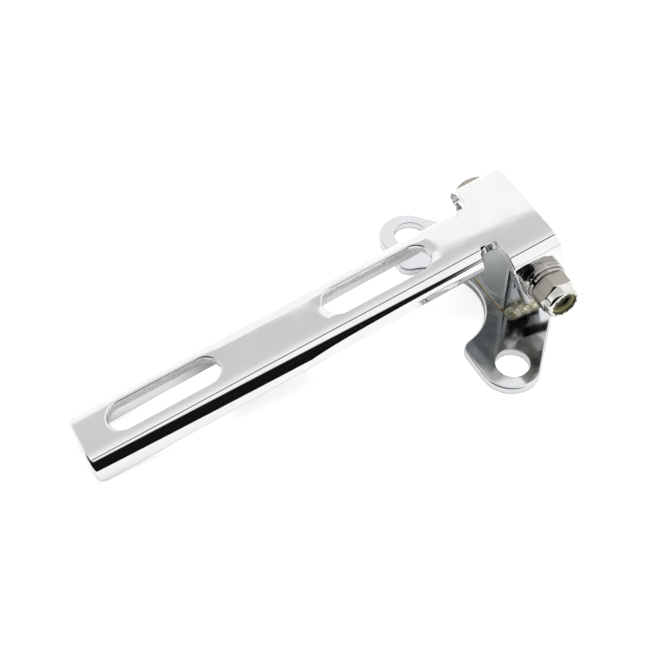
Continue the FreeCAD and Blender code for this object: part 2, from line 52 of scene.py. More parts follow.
# ---------------------------------------------------------------- sizes, in millimetres
def span(node, axis):
    """The lowest and highest coordinate of a CAD node along an axis."""
    low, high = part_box(node)
    return low[axis] / MM, high[axis] / MM


PIVOT_X = sum(span("pivot_sleeve", 0)) / 2
PIVOT_Z = sum(span("pivot_sleeve", 2)) / 2
YOKE_HALF = span("leg", 1)[1]
PLATE_TOP = span("base_plate", 2)[1]
LEG_WALL = 4.5
LEG_TOP = 15.6
LEG_LENGTH = 167.0
LEG_TILT = math.radians(9.709)
ARM_HALF = 12.4
SHOULDER = 7.2
SLOT_RADIUS = 5.8
SLOT_REACH = 15.0
SLOT_MIDDLES = (-52.0, -134.5)
NOTCH = (-16.5, -10.3)
NECK_HALF = 9.5
HOLE_Y = 35.5


# ---------------------------------------------------------------- fields
def rounded(a, b, radius):
    """The part inside both fields, with the edge between them rounded."""
    return (np.minimum(np.maximum(a, b), -radius)
            + np.hypot(np.maximum(a + radius, 0), np.maximum(b + radius, 0)))


def joined(a, b, radius):
    """The part inside either field, with a fillet in the corner between them."""
    return -rounded(-a, -b, radius)


def smooth(value, low, high):
    t = np.clip((value - low) / (high - low), 0, 1)
    return t * t * (3 - 2 * t)


def ripple(x, y, z, size, seed):
    """A soft irregular wave between about -1 and 1."""
    a = np.sin((x * 1.31 + y * 0.73 + z * 0.57) / size + seed)
    b = np.sin((y * 1.47 - x * 0.61 + z * 0.83) / size * 1.7 + seed * 2.3)
    c = np.sin((z * 1.83 + x * 0.91 - y * 0.37) / size * 2.9 + seed * 3.1)
    return 0.5 * a + 0.3 * b + 0.2 * c


# ---------------------------------------------------------------- from field to mesh
def slopes(field, points, width=0.01):
    """The field's gradient at the points."""
    columns = []
    for axis in range(3):
        shift = np.zeros(3)
        shift[axis] = width
        columns.append(field(*(points + shift).T) - field(*(points - shift).T))
    return np.stack(columns, 1) / (2 * width)


def surface(field, low, high, step):
    """Points, quads and normals of a field's surface, from a grid of cells of one size."""
    low = np.array(low, float)
    axes = [np.arange(a, b + step, step) for a, b in zip(low, high)]
    values = field(*np.meshgrid(*axes, indexing="ij"))
    inside = values < 0
    cells = np.array(inside.shape) - 1
    count = np.zeros(cells, np.int8)
    for i, j, k in product((0, 1), repeat=3):
        count += inside[i:i + cells[0], j:j + cells[1], k:k + cells[2]]
    crossed = (count > 0) & (count < 8)
    at = np.argwhere(crossed)
    index = np.full(cells, -1)
    index[crossed] = np.arange(len(at))
    total = np.zeros((len(at), 3))
    hits = np.zeros(len(at))
    for axis in range(3):
        for start in product((0, 1), repeat=3):
            if start[axis]:
                continue
            a = at + start
            b = a.copy()
            b[:, axis] += 1
            va = values[tuple(a.T)]
            vb = values[tuple(b.T)]
            hit = (va < 0) != (vb < 0)
            part = np.where(hit, va / np.where(hit, va - vb, 1), 0)
            place = a.astype(float)
            place[:, axis] += part
            total += place * hit[:, None]
            hits += hit
    points = low + total / hits[:, None] * step
    quads = []
    for axis in range(3):
        u, v = (axis + 1) % 3, (axis + 2) % 3
        first = [slice(None)] * 3
        second = [slice(None)] * 3
        first[axis] = slice(0, -1)
        second[axis] = slice(1, None)
        edge = np.argwhere(inside[tuple(first)] != inside[tuple(second)])
        keep = (edge[:, u] > 0) & (edge[:, v] > 0) & (edge[:, u] < cells[u]) & (edge[:, v] < cells[v])
        edge = edge[keep]
        ring = []
        for du, dv in ((1, 1), (0, 1), (0, 0), (1, 0)):
            cell = edge.copy()
            cell[:, u] -= du
            cell[:, v] -= dv
            ring.append(index[tuple(cell.T)])
        quad = np.stack(ring, 1)
        backwards = ~inside[tuple(edge.T)]
        quad[backwards] = quad[backwards][:, ::-1]
        quads.append(quad)
    for _ in range(5):
        slope = slopes(field, points)
        move = (field(*points.T) / np.maximum((slope ** 2).sum(1), 0.05))[:, None] * slope
        points = points - np.clip(move, -0.5 * step, 0.5 * step)
    normals = slopes(field, points)
    normals /= np.maximum(np.linalg.norm(normals, axis=1), 1e-9)[:, None]
    return points, np.concatenate(quads), normals


def soft_outline(corners, steps=5):
    """A closed outline of (radius, height, rounding) corners as points with outward normals."""
    ring = []
    for i, (r, h, rounding) in enumerate(corners):
        here = np.array([r, h])
        back = np.array(corners[i - 1][:2]) - here
        ahead = np.array(corners[(i + 1) % len(corners)][:2]) - here
        back /= np.linalg.norm(back)
        ahead /= np.linalg.norm(ahead)
        first = np.array([-back[1], back[0]])
        second = np.array([ahead[1], -ahead[0]])
        turn = math.acos(np.clip(first @ second, -1, 1))
        convex = back[0] * ahead[1] - back[1] * ahead[0] < 0
        reach = rounding * math.tan(turn / 2)
        centre = here + back * reach - (first if convex else -first) * rounding
        for k in range(steps + 1):
            t = k / steps
            normal = first * math.sin((1 - t) * turn) + second * math.sin(t * turn)
            normal = normal / max(np.linalg.norm(normal), 1e-9)
            point = centre + (normal if convex else -normal) * rounding
            ring.append((*point, *normal))
    return ring


def turned(corners, turns=128, gap=0.0):
    """A ring turned about local Z from a soft outline, cut open by a gap in radians."""
    ring = soft_outline(corners)
    n = len(ring)
    steps = turns + 1 if gap else turns
    angles = [gap / 2 + (2 * math.pi - gap) * k / turns for k in range(steps)]
    points = [(r * math.cos(a), r * math.sin(a), h) for a in angles for r, h, _, _ in ring]
    normals = [(nr * math.cos(a), nr * math.sin(a), nh) for a in angles for _, _, nr, nh in ring]
    faces = []
    for k in range(turns):
        ahead = (k + 1) % steps
        for i in range(n):
            j = (i + 1) % n
            faces.append((k * n + i, ahead * n + i, ahead * n + j, k * n + j))
    if gap:
        for k, sign in ((0, -1), (turns, 1)):
            start = len(points)
            a = angles[k]
            points += points[k * n:k * n + n]
            normals += [(-sign * math.sin(a), sign * math.cos(a), 0)] * n
            cap = list(range(start, start + n))
            faces.append(tuple(cap if sign < 0 else cap[::-1]))
    return np.array(points), faces, np.array(normals)


def place(name, shape, where, node, body, slot, material, wear=None):
    """Makes one piece: its mesh in row coordinates, its normals, its body and its material."""
    points, faces, normals = shape
    turn = np.array(where.to_3x3())
    shift = np.array(where.translation)
    mesh = bpy.data.meshes.new(name)
    mesh.from_pydata(((points @ turn.T + shift) * MM).tolist(), [], np.asarray(faces).tolist()
                     if isinstance(faces, np.ndarray) else faces)
    worn = np.zeros(len(points)) if wear is None else wear(points, normals)
    mesh.attributes.new("worn", "FLOAT", "POINT").data.foreach_set("value", worn.astype(np.float32))
    mesh.shade_smooth()
    mesh.normals_split_custom_set_from_vertices((normals @ turn.T).tolist())
    mesh.materials.append(material)
    piece = bpy.data.objects.new(name, mesh)
    bpy.context.scene.collection.objects.link(piece)
    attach(piece, body)
    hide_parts(node)


HERE = Matrix.Identity(4)
LEG_PLACE = Matrix.Translation((PIVOT_X, 0, PIVOT_Z)) @ Matrix.Rotation(-LEG_TILT, 4, "Y")


def on_pivot(y, turn=0.0):
    """Local Z along the pivot towards -Y, starting from y."""
    return (Matrix.Translation((PIVOT_X, y, PIVOT_Z)) @ Matrix.Rotation(math.radians(90), 4, "X")
            @ Matrix.Rotation(math.radians(turn), 4, "Z"))


# ---------------------------------------------------------------- materials
def link(tree, a, b):
    tree.links.new(a, b)


def shader(name):
    material = bpy.data.materials.new(name)
    material.use_nodes = True
    tree = material.node_tree
    tree.nodes.clear()
    output = tree.nodes.new("ShaderNodeOutputMaterial")
    surface_node = tree.nodes.new("ShaderNodeBsdfPrincipled")
    link(tree, surface_node.outputs[0], output.inputs[0])
    place_node = tree.nodes.new("ShaderNodeTexCoord")
    return material, tree, surface_node, place_node.outputs["Object"]


def noise(tree, where, scale, detail=2.0, rough=0.5, stretch=None):
    if stretch:
        mapping = tree.nodes.new("ShaderNodeMapping")
        mapping.inputs["Scale"].default_value = stretch
        link(tree, where, mapping.inputs[0])
        where = mapping.outputs[0]
    node = tree.nodes.new("ShaderNodeTexNoise")
    node.inputs["Scale"].default_value = scale
    node.inputs["Detail"].default_value = detail
    node.inputs["Roughness"].default_value = rough
    link(tree, where, node.inputs["Vector"])
    return node.outputs["Fac"]


def ramp(tree, value, stops):
    node = tree.nodes.new("ShaderNodeValToRGB")
    elements = node.color_ramp.elements
    while len(elements) < len(stops):
        elements.new(1.0)
    for element, (position, colour) in zip(elements, stops):
        element.position = position
        element.color = (*colour, 1.0)
    link(tree, value, node.inputs[0])
    return node.outputs[0]


def grey(level):
    return (level, level, level)


def remap(tree, value, low, high, to_low, to_high):
    node = tree.nodes.new("ShaderNodeMapRange")
    for key, number in (("From Min", low), ("From Max", high), ("To Min", to_low), ("To Max", to_high)):
        node.inputs[key].default_value = number
    link(tree, value, node.inputs["Value"])
    return node.outputs[0]


def maths(tree, kind, a, b=None):
    node = tree.nodes.new("ShaderNodeMath")
    node.operation = kind
    for slot_number, value in enumerate((a, b)):
        if value is None:
            continue
        if isinstance(value, (int, float)):
            node.inputs[slot_number].default_value = value
        else:
            link(tree, value, node.inputs[slot_number])
    return node.outputs[0]


def mixed(tree, fac, a, b):
    node = tree.nodes.new("ShaderNodeMix")
    node.data_type = "RGBA"
    link(tree, fac, node.inputs[0])
    for key, value in ((6, a), (7, b)):
        if isinstance(value, tuple):
            node.inputs[key].default_value = (*value, 1.0)
        else:
            link(tree, value, node.inputs[key])
    return node.outputs[2]


def bumped(tree, height, distance, strength=1.0, under=None):
    node = tree.nodes.new("ShaderNodeBump")
    node.inputs["Distance"].default_value = distance
    node.inputs["Strength"].default_value = strength
    link(tree, height, node.inputs["Height"])
    if under is not None:
        link(tree, under, node.inputs["Normal"])
    return node.outputs[0]


def worn_mask(tree):
    node = tree.nodes.new("ShaderNodeAttribute")
    node.attribute_name = "worn"
    return node.outputs["Fac"]


def chrome(name, colour, polish, wave, pits, worn_colour):
    """Chrome plate: slow waves in the metal, fine orange peel, sparse pits and rough cut faces."""
    material, tree, out, where = shader(name)
    worn = worn_mask(tree)
    cloud = noise(tree, where, 90, 3)
    tint = mixed(tree, remap(tree, cloud, 0.4, 0.7, 0, 1), colour,
                 tuple(c * f for c, f in zip(colour, (0.965, 0.96, 0.945))))
    speck = noise(tree, where, 1500, 2, 0.6)
    speck = remap(tree, speck, 0.74 - 0.06 * pits, 0.80 - 0.06 * pits, 0, 1)
    grain = noise(tree, where, 1300, 4, 0.7)
    rough_tint = mixed(tree, grain, worn_colour, tuple(min(1.0, c * 1.7) for c in worn_colour))
    tint = mixed(tree, maths(tree, "MULTIPLY", speck, 0.5), tint, grey(0.25))
    # on the leg, part of the worn mask is painted shade on the flanges' lower edges
    link(tree, mixed(tree, worn, tint, rough_tint), out.inputs["Base Color"])
    out.inputs["Metallic"].default_value = 1.0
    shine = remap(tree, noise(tree, where, 260, 4, 0.6), 0.35, 0.75, polish, polish * 2.2)
    shine = maths(tree, "ADD", shine, maths(tree, "MULTIPLY", worn, 0.22))
    link(tree, maths(tree, "ADD", shine, maths(tree, "MULTIPLY", speck, 0.15)), out.inputs["Roughness"])
    normal = bumped(tree, noise(tree, where, 70, 1, 0.3), 0.001, wave)
    normal = bumped(tree, noise(tree, where, 500, 2), 0.00001, 0.1, normal)
    rough = maths(tree, "MULTIPLY", noise(tree, where, 1100, 5, 0.75), worn)
    normal = bumped(tree, rough, 0.0006, 0.8, normal)
    link(tree, normal, out.inputs["Normal"])
    return material


def steel(name, light, dark, roughness, stretch=None, satin=None):
    """Plated or bare steel with fine turning or rolling marks and stains; satin is where worn is 1."""
    material, tree, out, where = shader(name)
    worn = worn_mask(tree)
    cloud = noise(tree, where, 320, 5, 0.6)
    fine = noise(tree, where, 2600, 3, 0.6, stretch)
    tint = mixed(tree, remap(tree, cloud, 0.35, 0.68, 0, 1), light, dark)
    shine = remap(tree, fine, 0.3, 0.7, roughness * 0.75, roughness * 1.35)
    if satin:
        tint = mixed(tree, worn, tint, satin)
        shine = maths(tree, "ADD", shine, maths(tree, "MULTIPLY", worn, 0.22))
    link(tree, tint, out.inputs["Base Color"])
    out.inputs["Metallic"].default_value = 1.0
    link(tree, shine, out.inputs["Roughness"])
    normal = bumped(tree, fine, 0.00002, 0.4)
    link(tree, bumped(tree, cloud, 0.00005, 0.3, normal), out.inputs["Normal"])
    return material


def nylon(name, light, dark):
    material, tree, out, where = shader(name)
    cloud = noise(tree, where, 500, 4, 0.6)
    link(tree, mixed(tree, remap(tree, cloud, 0.35, 0.7, 0, 1), light, dark), out.inputs["Base Color"])
    link(tree, remap(tree, cloud, 0.3, 0.7, 0.38, 0.55), out.inputs["Roughness"])
    link(tree, bumped(tree, noise(tree, where, 2200, 3), 0.00005, 0.5), out.inputs["Normal"])
    return material


CHROME = 0.62
leg_chrome = chrome("chrome_leg", (CHROME, CHROME, CHROME), 0.02, 0.008, 0.4, (0.42, 0.42, 0.42))
# the plate's chrome is darker than the leg's: painted shade for the shadowed underside it reflects
plate_chrome = chrome("chrome_plate_painted_shade", (0.52, 0.53, 0.545), 0.08, 0.03, 0.9, (0.4, 0.4, 0.4))
# the bracket's chrome is darker still: painted shade for the shadowed floor its web reflects
bracket_chrome = chrome("chrome_bracket_painted_shade", (0.40, 0.42, 0.43), 0.08, 0.03, 0.9, (0.30, 0.24, 0.10))
weld_metal = chrome("plated_weld", (0.50, 0.49, 0.42), 0.10, 0.05, 1.0, (0.26, 0.24, 0.14))
nut_steel = steel("zinc_nut", (0.60, 0.59, 0.57), (0.50, 0.49, 0.46), 0.10, satin=(0.30, 0.278, 0.25))
bolt_metal = steel("zinc_bolt", (0.50, 0.49, 0.47), (0.40, 0.39, 0.37), 0.12, satin=(0.30, 0.278, 0.25))
washer_zinc = steel("zinc_washer", (0.44, 0.425, 0.41), (0.34, 0.325, 0.31), 0.06)
spring_steel = steel("zinc_spring_washer", (0.40, 0.385, 0.37), (0.30, 0.285, 0.27), 0.08)
sleeve_steel = steel("turned_sleeve", (0.62, 0.61, 0.60), (0.50, 0.49, 0.47), 0.25, (1, 8, 1))
insert_nylon = nylon("olive_nylon", (0.30, 0.30, 0.13), (0.20, 0.21, 0.09))


# ---------------------------------------------------------------- leg
YOKE_REAR = 8.9
EAR_BACK = 0.7
EAR_CENTRE = (EAR_BACK, -1.2)
EAR_RADIUS = 9.1
EAR_SPRING = LEG_TOP - SHOULDER
ARM_DEPTHS = (9.7, 12.9)
FOOT_ROUND = 4.0
FOOT_STARTS = -90.0
LIP_ROUND = 0.6
FOOT_LIP = 1.1
EAR_LIP = 0.7
NOTCH_CORNER = 1.4
NOTCH_LIP = 0.45
SLOT_LIP = 0.75
SLOT_BREAK = 1.7
SLOT_DIP = 0.10
SLOT_DIP_REACH = 1.5
EAR_BORE = 4.1
BORE_LIP = 0.3


def tangent(point, side):
    """A line from a point down to the ear's lobe: its outward normal, seen from the side."""
    away = (point[0] - EAR_CENTRE[0], point[1] - EAR_CENTRE[1])
    heading = math.atan2(away[1], away[0]) - side * math.acos(EAR_RADIUS / math.hypot(*away))
    return math.cos(heading), math.sin(heading)


EAR_FRONT = tangent((NOTCH[1], EAR_SPRING), -1)
EAR_REAR = tangent((YOKE_REAR + EAR_BACK, EAR_SPRING), 1)


def ear_profile(x, z):
    """The yoke seen from the side: straight edges that run down into a round lobe."""
    dx = x - EAR_CENTRE[0]
    dz = z - EAR_CENTRE[1]
    front = dx * EAR_FRONT[0] + dz * EAR_FRONT[1] - EAR_RADIUS
    rear = dx * EAR_REAR[0] + dz * EAR_REAR[1] - EAR_RADIUS
    front = np.where(z > EAR_SPRING, -EAR_RADIUS, front)
    rear = np.where(z > EAR_SPRING, x - YOKE_REAR - EAR_BACK * (LEG_TOP - z) / SHOULDER, rear)
    lobe = np.hypot(dx, dz) - EAR_RADIUS
    below = (dx * EAR_FRONT[1] - dz * EAR_FRONT[0] > 0) & (dx * EAR_REAR[1] - dz * EAR_REAR[0] < 0)
    below &= dz < 0
    return np.where(below, lobe, np.maximum(front, rear))


def slot_field(x, y, middle):
    """An obround slot along the leg."""
    return np.hypot(np.maximum(np.abs(x - middle) - SLOT_REACH, 0), y) - SLOT_RADIUS


def leg_field(x, y, z):
    side = np.abs(y)
    half = ARM_HALF + (YOKE_HALF - ARM_HALF) * smooth(x, NOTCH[0], NOTCH[1])
    outer = rounded(side - half, z - LEG_TOP, SHOULDER)
    inner = rounded(side - half + LEG_WALL, z - LEG_TOP + LEG_WALL, SHOULDER - LEG_WALL)
    shell = rounded(outer, -inner, LIP_ROUND)
    dip = sum(np.exp(-np.maximum(slot_field(x, y, middle), 0) / SLOT_DIP_REACH) for middle in SLOT_MIDDLES)
    shell = shell + SLOT_DIP * dip * smooth(z, LEG_TOP - 3.5, LEG_TOP - 0.5)
    share = np.clip((NOTCH[0] - x) / (NOTCH[0] + LEG_LENGTH), 0, 1)
    bottom = LEG_TOP - ARM_DEPTHS[0] - (ARM_DEPTHS[1] - ARM_DEPTHS[0]) * share
    arm = rounded(-x - LEG_LENGTH, bottom - z, FOOT_ROUND)
    yoke = ear_profile(x, z)
    middle = sum(NOTCH) / 2
    field = np.where(x < FOOT_STARTS, rounded(shell, arm, FOOT_LIP),
                     rounded(shell, np.where(x < middle, arm, yoke), EAR_LIP))
    notch = rounded(np.abs(x - middle) - (NOTCH[1] - NOTCH[0]) / 2,
                    np.minimum(NECK_HALF - side, z - LEG_TOP + LEG_WALL), NOTCH_CORNER)
    field = rounded(field, -notch, NOTCH_LIP)
    for place_x in SLOT_MIDDLES:
        broken = smooth(LEG_TOP - SLOT_BREAK + 0.35 * ripple(x, y, 0, 1.3, place_x) - z, -0.12, 0.12)
        rough = 0.10 + 0.07 * ripple(x, y, z, 0.35, 2.0)
        slot = slot_field(x, y, place_x) - broken * rough
        field = rounded(field, -slot, SLOT_LIP)
    return rounded(field, EAR_BORE - np.hypot(x, z), BORE_LIP)


def leg_wear_and_shade(points, normals):
    """Cut faces: the torn part of the slot walls, and the flanges' lower edges, whose darker tint is
    painted shade.
    """
    x, y, z = points.T
    worn = np.zeros(len(points))
    for middle in SLOT_MIDDLES:
        wall = np.exp(-(np.maximum(slot_field(x, y, middle) - 0.15, 0) / 0.12) ** 2)
        below_break = smooth(LEG_TOP - z, SLOT_BREAK - 0.3, SLOT_BREAK + 0.3)
        worn = np.maximum(worn, wall * below_break * smooth(np.abs(normals[:, 2]), 0.9, 0.4))
    # painted shade: faces low on the leg that point down get half of the worn tint
    edge = smooth(-normals[:, 2], 0.9, 0.99) * (z < LEG_TOP - 5.5)
    return np.maximum(worn, edge * 0.5)


# ---------------------------------------------------------------- base plate
LOBE = (-1.0, HOLE_Y)
LOBE_RADIUS = 11.0
SCOOP_X = -12.4
SCOOP_RADIUS = 19.7
REAR = (22.0, 13.0)
REAR_RADIUS = 9.0
SCOOP_CORNER = 4.0
PLATE_TOP_EDGE = 0.8
PLATE_BOTTOM_EDGE = 0.3
HOLE_RADIUS = 6.0
HOLE_EDGE = 0.25


def plate_outline(x, y):
    """Two lobes round the holes, a straight taper to a rounded rear corner, and the scoop."""
    side = np.abs(y)
    reach = math.hypot(REAR[0] - LOBE[0], REAR[1] - LOBE[1])
    heading = (math.atan2(REAR[1] - LOBE[1], REAR[0] - LOBE[0])
               + math.acos((LOBE_RADIUS - REAR_RADIUS) / reach))
    out = (math.cos(heading), math.sin(heading))
    along = (x - LOBE[0]) * out[1] - (side - LOBE[1]) * out[0]
    length = (REAR[0] - LOBE[0]) * out[1] - (REAR[1] - LOBE[1]) * out[0]
    line = (x - LOBE[0]) * out[0] + (side - LOBE[1]) * out[1] - LOBE_RADIUS
    lobe = np.hypot(x - LOBE[0], side - LOBE[1]) - LOBE_RADIUS
    rear = np.hypot(x - REAR[0], side - REAR[1]) - REAR_RADIUS
    left = LOBE[0] - LOBE_RADIUS - x
    field = np.where(along < 0, np.where(side > LOBE[1], lobe, left),
                     np.where(along < length, line,
                              np.where(side > REAR[1], rear, x - REAR[0] - REAR_RADIUS)))
    field = np.maximum(field, left)
    return rounded(field, SCOOP_RADIUS - np.hypot(x - SCOOP_X, y), SCOOP_CORNER)


def plate_field(x, y, z):
    field = rounded(plate_outline(x, y), z - PLATE_TOP, PLATE_TOP_EDGE)
    field = rounded(field, -z, PLATE_BOTTOM_EDGE)
    hole = np.hypot(x, np.abs(y) - HOLE_Y) - HOLE_RADIUS
    return rounded(field, -hole, HOLE_EDGE)


# ---------------------------------------------------------------- upright
FRONT = 9.5
CHEEK_HALF = 15.0
CHEEK_WALL = 3.5
TOP_RADIUS = 10.7
LEAN = math.radians(12.0)
OUTER_BEND = 3.0
INNER_BEND = 0.8
CHEEK_EDGE = 0.5
PROFILE_EDGE = 0.6
SLEEVE_RADIUS = 6.0
SUNK = 0.3          # how far the upright and the beads reach into what they are welded to


def bracket_profile(x, z):
    """The upright seen from the side: a sloping top, a leaning back and a round corner."""
    dx = x - PIVOT_X
    dz = z - PIVOT_Z
    top = -dx * math.sin(LEG_TILT) + dz * math.cos(LEG_TILT) - TOP_RADIUS
    back = dx * math.cos(LEAN) - dz * math.sin(LEAN) - TOP_RADIUS
    corner = ((dx * math.cos(LEG_TILT) + dz * math.sin(LEG_TILT) > 0)
              & (dx * math.sin(LEAN) + dz * math.cos(LEAN) > 0))
    return np.where(corner, np.hypot(dx, dz) - TOP_RADIUS, np.maximum(top, back))


def bracket_field(x, y, z):
    side = np.abs(y)
    outer = rounded(FRONT - x, side - CHEEK_HALF, OUTER_BEND)
    inner = rounded(FRONT + CHEEK_WALL - x, side - CHEEK_HALF + CHEEK_WALL, INNER_BEND)
    field = rounded(outer, -inner, CHEEK_EDGE)
    field = rounded(field, bracket_profile(x, z), PROFILE_EDGE)
    field = np.maximum(field, PLATE_TOP - SUNK - z)
    return np.maximum(field, SLEEVE_RADIUS - np.hypot(x - PIVOT_X, z - PIVOT_Z))


def bracket_wear(points, normals):
    """A stain of flux and rust along the foot."""
    x, y, z = points.T
    height = 0.5 + 0.35 * ripple(x, y, z, 1.6, 4.0)
    return smooth(PLATE_TOP + height + 0.6 - z, 0, 0.7)


# ---------------------------------------------------------------- weld beads
WELD = (11.5, 23.5)
WELD_LEG = 3.2
RIPPLES = 11
RIPPLE_INSET = 1.2
RIPPLE_SIZE = 2.75
RIPPLE_FILLET = 0.9


def weld_field(side):
    def field(x, y, z):
        out = side * y - CHEEK_HALF
        up = z - PLATE_TOP
        bead = None
        for i in range(RIPPLES):
            t = i / (RIPPLES - 1)
            middle = WELD[0] + RIPPLE_INSET + (WELD[1] - WELD[0] - 2 * RIPPLE_INSET) * t
            size = RIPPLE_SIZE + 0.22 * math.sin(i * 2.1 + side) + (0.35 if i == 0 else 0)
            drift = 0.12 * math.sin(i * 3.7 + 1)
            drop = np.sqrt(((x - middle) * 0.95) ** 2 + (out - 0.2 - drift) ** 2 + (up - 0.2) ** 2) - size
            bead = drop if bead is None else joined(bead, drop, RIPPLE_FILLET)
        bead = bead + 0.09 * ripple(x, y, z, 0.30, 5.0) + 0.04 * ripple(x, y, z, 0.15, 1.0)
        return np.maximum(np.maximum(bead, -out - SUNK), -up - 0.25)
    return field


def weld_wear(points, normals):
    """Patches of burnt flux."""
    x, y, z = points.T
    return np.clip(0.45 + 0.6 * ripple(x, y, z, 0.8, 2.0), 0, 1)


# ---------------------------------------------------------------- nut and bolt
HEX_HALF = 6.5
NUT_HEX = 6.4
NUT_HEIGHT = 10.0
COLLAR = 6.35
BOLT_RADIUS = 4.0
THREAD_PITCH = 1.25
THREAD_DEPTH = 0.62
THREAD_LENGTH = 11.0
CREST_FLAT = 0.1
HEAD_HEIGHT = 5.3
HEX_TURNS = {"nut": 52, "head": 58}
LIP_MOUTH = 4.75
LIP_HEIGHT = 0.55
CRIMPS = 12
CRIMP_DEPTH = 0.4
CHAMBER_RADIUS = 5.8
CHAMBER_DEPTH = 2.5
COLLAR_ROUND = 1.05
EDGE_SOFT = 0.12
CONE = math.radians(30)


def hexagon(x, y, soft):
    field = None
    for k in range(3):
        turn = math.radians(30 + 60 * k)
        face = np.abs(x * math.cos(turn) + y * math.sin(turn)) - HEX_HALF
        field = face if field is None else rounded(field, face, soft)
    return field


def corner_cone(radius, depth):
    """Negative where a hexagon's corners are left, depth being measured from its end face."""
    return ((radius - HEX_HALF) * math.tan(CONE) - depth) * math.cos(CONE)


def nut_field(x, y, z):
    radius = np.hypot(x, y)
    turn = np.arctan2(y, x)
    body = rounded(hexagon(x, y, 0.3), np.abs(z - NUT_HEX / 2) - NUT_HEX / 2, EDGE_SOFT)
    body = rounded(body, corner_cone(radius, NUT_HEX - z), EDGE_SOFT)
    body = rounded(body, corner_cone(radius, z), EDGE_SOFT)
    collar = rounded(radius - COLLAR + 0.03 * (z - NUT_HEX), z - NUT_HEIGHT, COLLAR_ROUND)
    collar = np.maximum(collar, 1.0 - z)
    body = joined(body, collar, 0.35)
    crimp = smooth(np.cos(CRIMPS * turn + 0.6 * np.sin(3 * turn)), 0.45, 0.85)
    mouth = LIP_MOUTH + CRIMP_DEPTH * crimp
    bore = np.where(z > NUT_HEIGHT - LIP_HEIGHT, mouth, CHAMBER_RADIUS)
    bore = np.where(z < NUT_HEIGHT - CHAMBER_DEPTH, BOLT_RADIUS + 0.03, bore)
    return rounded(body, bore - radius, 0.14)


def hex_wear(height):
    """The satin hexagon faces; the chamfers, the collar and the thread stay bright."""
    def wear(points, normals):
        x, y, z = points.T
        flat = smooth(np.abs(normals[:, 2]), 0.25, 0.05) * (np.hypot(x, y) > HEX_HALF - 0.05)
        return flat * (z < height)
    return wear


def bolt_field(x, y, z):
    """Head from 0 to its height, then the shank and its threaded end."""
    radius = np.hypot(x, y)
    head = rounded(hexagon(x, y, 0.3), np.abs(z - HEAD_HEIGHT / 2) - HEAD_HEIGHT / 2, 0.15)
    head = rounded(head, corner_cone(radius, z), 0.15)
    end = HEAD_HEIGHT + YOKE_HALF - span("pivot_bolt", 1)[0]
    start = end - THREAD_LENGTH
    phase = np.mod(z / THREAD_PITCH - np.arctan2(y, x) / (2 * math.pi), 1.0)
    groove = np.clip(np.abs(2 * phase - 1) * 1.25 - CREST_FLAT, 0, 1)
    depth = THREAD_DEPTH * groove * smooth(z, start, start + 1.5)
    shank = radius - BOLT_RADIUS + depth
    shank = np.maximum(shank, (radius - 3.1 + (z - end)) * math.sqrt(0.5))
    shank = np.maximum(np.maximum(shank, z - end), 1.0 - z)
    return joined(head, shank, 0.4)


# ---------------------------------------------------------------- pieces
FACE = {name: span(name, 1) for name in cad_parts}

place("leg_pressed_channel", surface(leg_field, (-168, -22.5, -11.5), (10.6, 22.5, 16.6), 0.45),
      LEG_PLACE, "leg", "stand_leg", "leg_chrome", leg_chrome, leg_wear_and_shade)
place("base_plate_stamped", surface(plate_field, (-13.1, -47.6, -0.6), (32.1, 47.6, 3.7), 0.4),
      HERE, "base_plate", "base", "plate_chrome", plate_chrome)
place("upright_folded", surface(bracket_field, (8.9, -15.7, 2.1), (30.4, 15.7, 36.4), 0.4),
      HERE, "pivot_bracket", "base", "bracket_chrome", bracket_chrome, bracket_wear)
for name, side in (("near", -1), ("far", 1)):
    low = CHEEK_HALF - 0.6
    high = CHEEK_HALF + WELD_LEG + 1.0
    span_y = (low, high) if side > 0 else (-high, -low)
    place("weld_ripples_" + name,
          surface(weld_field(side), (WELD[0] - 2.2, span_y[0], 2.4), (WELD[1] + 2.2, span_y[1], 7.2), 0.16),
          HERE, "weld_bead_" + name, "base", "weld", weld_metal, weld_wear)


def washer(outer, bore, thickness, soft):
    return [(bore, 0, soft * 0.6), (outer, 0, soft * 0.5), (outer, thickness, soft),
            (bore, thickness, soft)]


def thickness_of(node):
    return FACE[node][1] - FACE[node][0]


for name in ("near", "far"):
    node = "thrust_washer_" + name
    place("thrust_ring_" + name, turned(washer(8.5, 4.2, thickness_of(node), 0.3)),
          on_pivot(FACE[node][1]), node, "base", "washer_zinc", washer_zinc)
for name in ("inner", "outer"):
    node = "flat_washer_" + name
    place("plain_washer_" + name, turned(washer(8.0, 4.2, thickness_of(node), 0.35)),
          on_pivot(FACE[node][1]), node, "stand_leg", "washer_zinc", washer_zinc)
SPLIT = 0.17
SPLIT_TURN = HEX_TURNS["nut"] + 95
place("split_washer", turned(washer(7.3, 4.3, thickness_of("spring_washer"), 0.2), gap=SPLIT),
      on_pivot(FACE["spring_washer"][1], SPLIT_TURN), "spring_washer", "stand_leg", "spring_zinc",
      spring_steel)
place("sleeve_tube", turned(washer(SLEEVE_RADIUS, 4.05, thickness_of("pivot_sleeve"), 0.4)),
      on_pivot(FACE["pivot_sleeve"][1]), "pivot_sleeve", "base", "sleeve_steel", sleeve_steel)
INSERT_BORE = 3.72
INSERT_OUT = CHAMBER_RADIUS - 0.02
INSERT_HEIGHT = 1.45
place("insert_ring", turned([(INSERT_BORE, 0, 0.2), (INSERT_OUT, 0, 0.1), (INSERT_OUT, INSERT_HEIGHT, 0.2),
                             (INSERT_BORE, INSERT_HEIGHT, 0.5)]),
      on_pivot(FACE["nylon_insert"][1]), "nylon_insert", "stand_leg", "insert_nylon", insert_nylon)
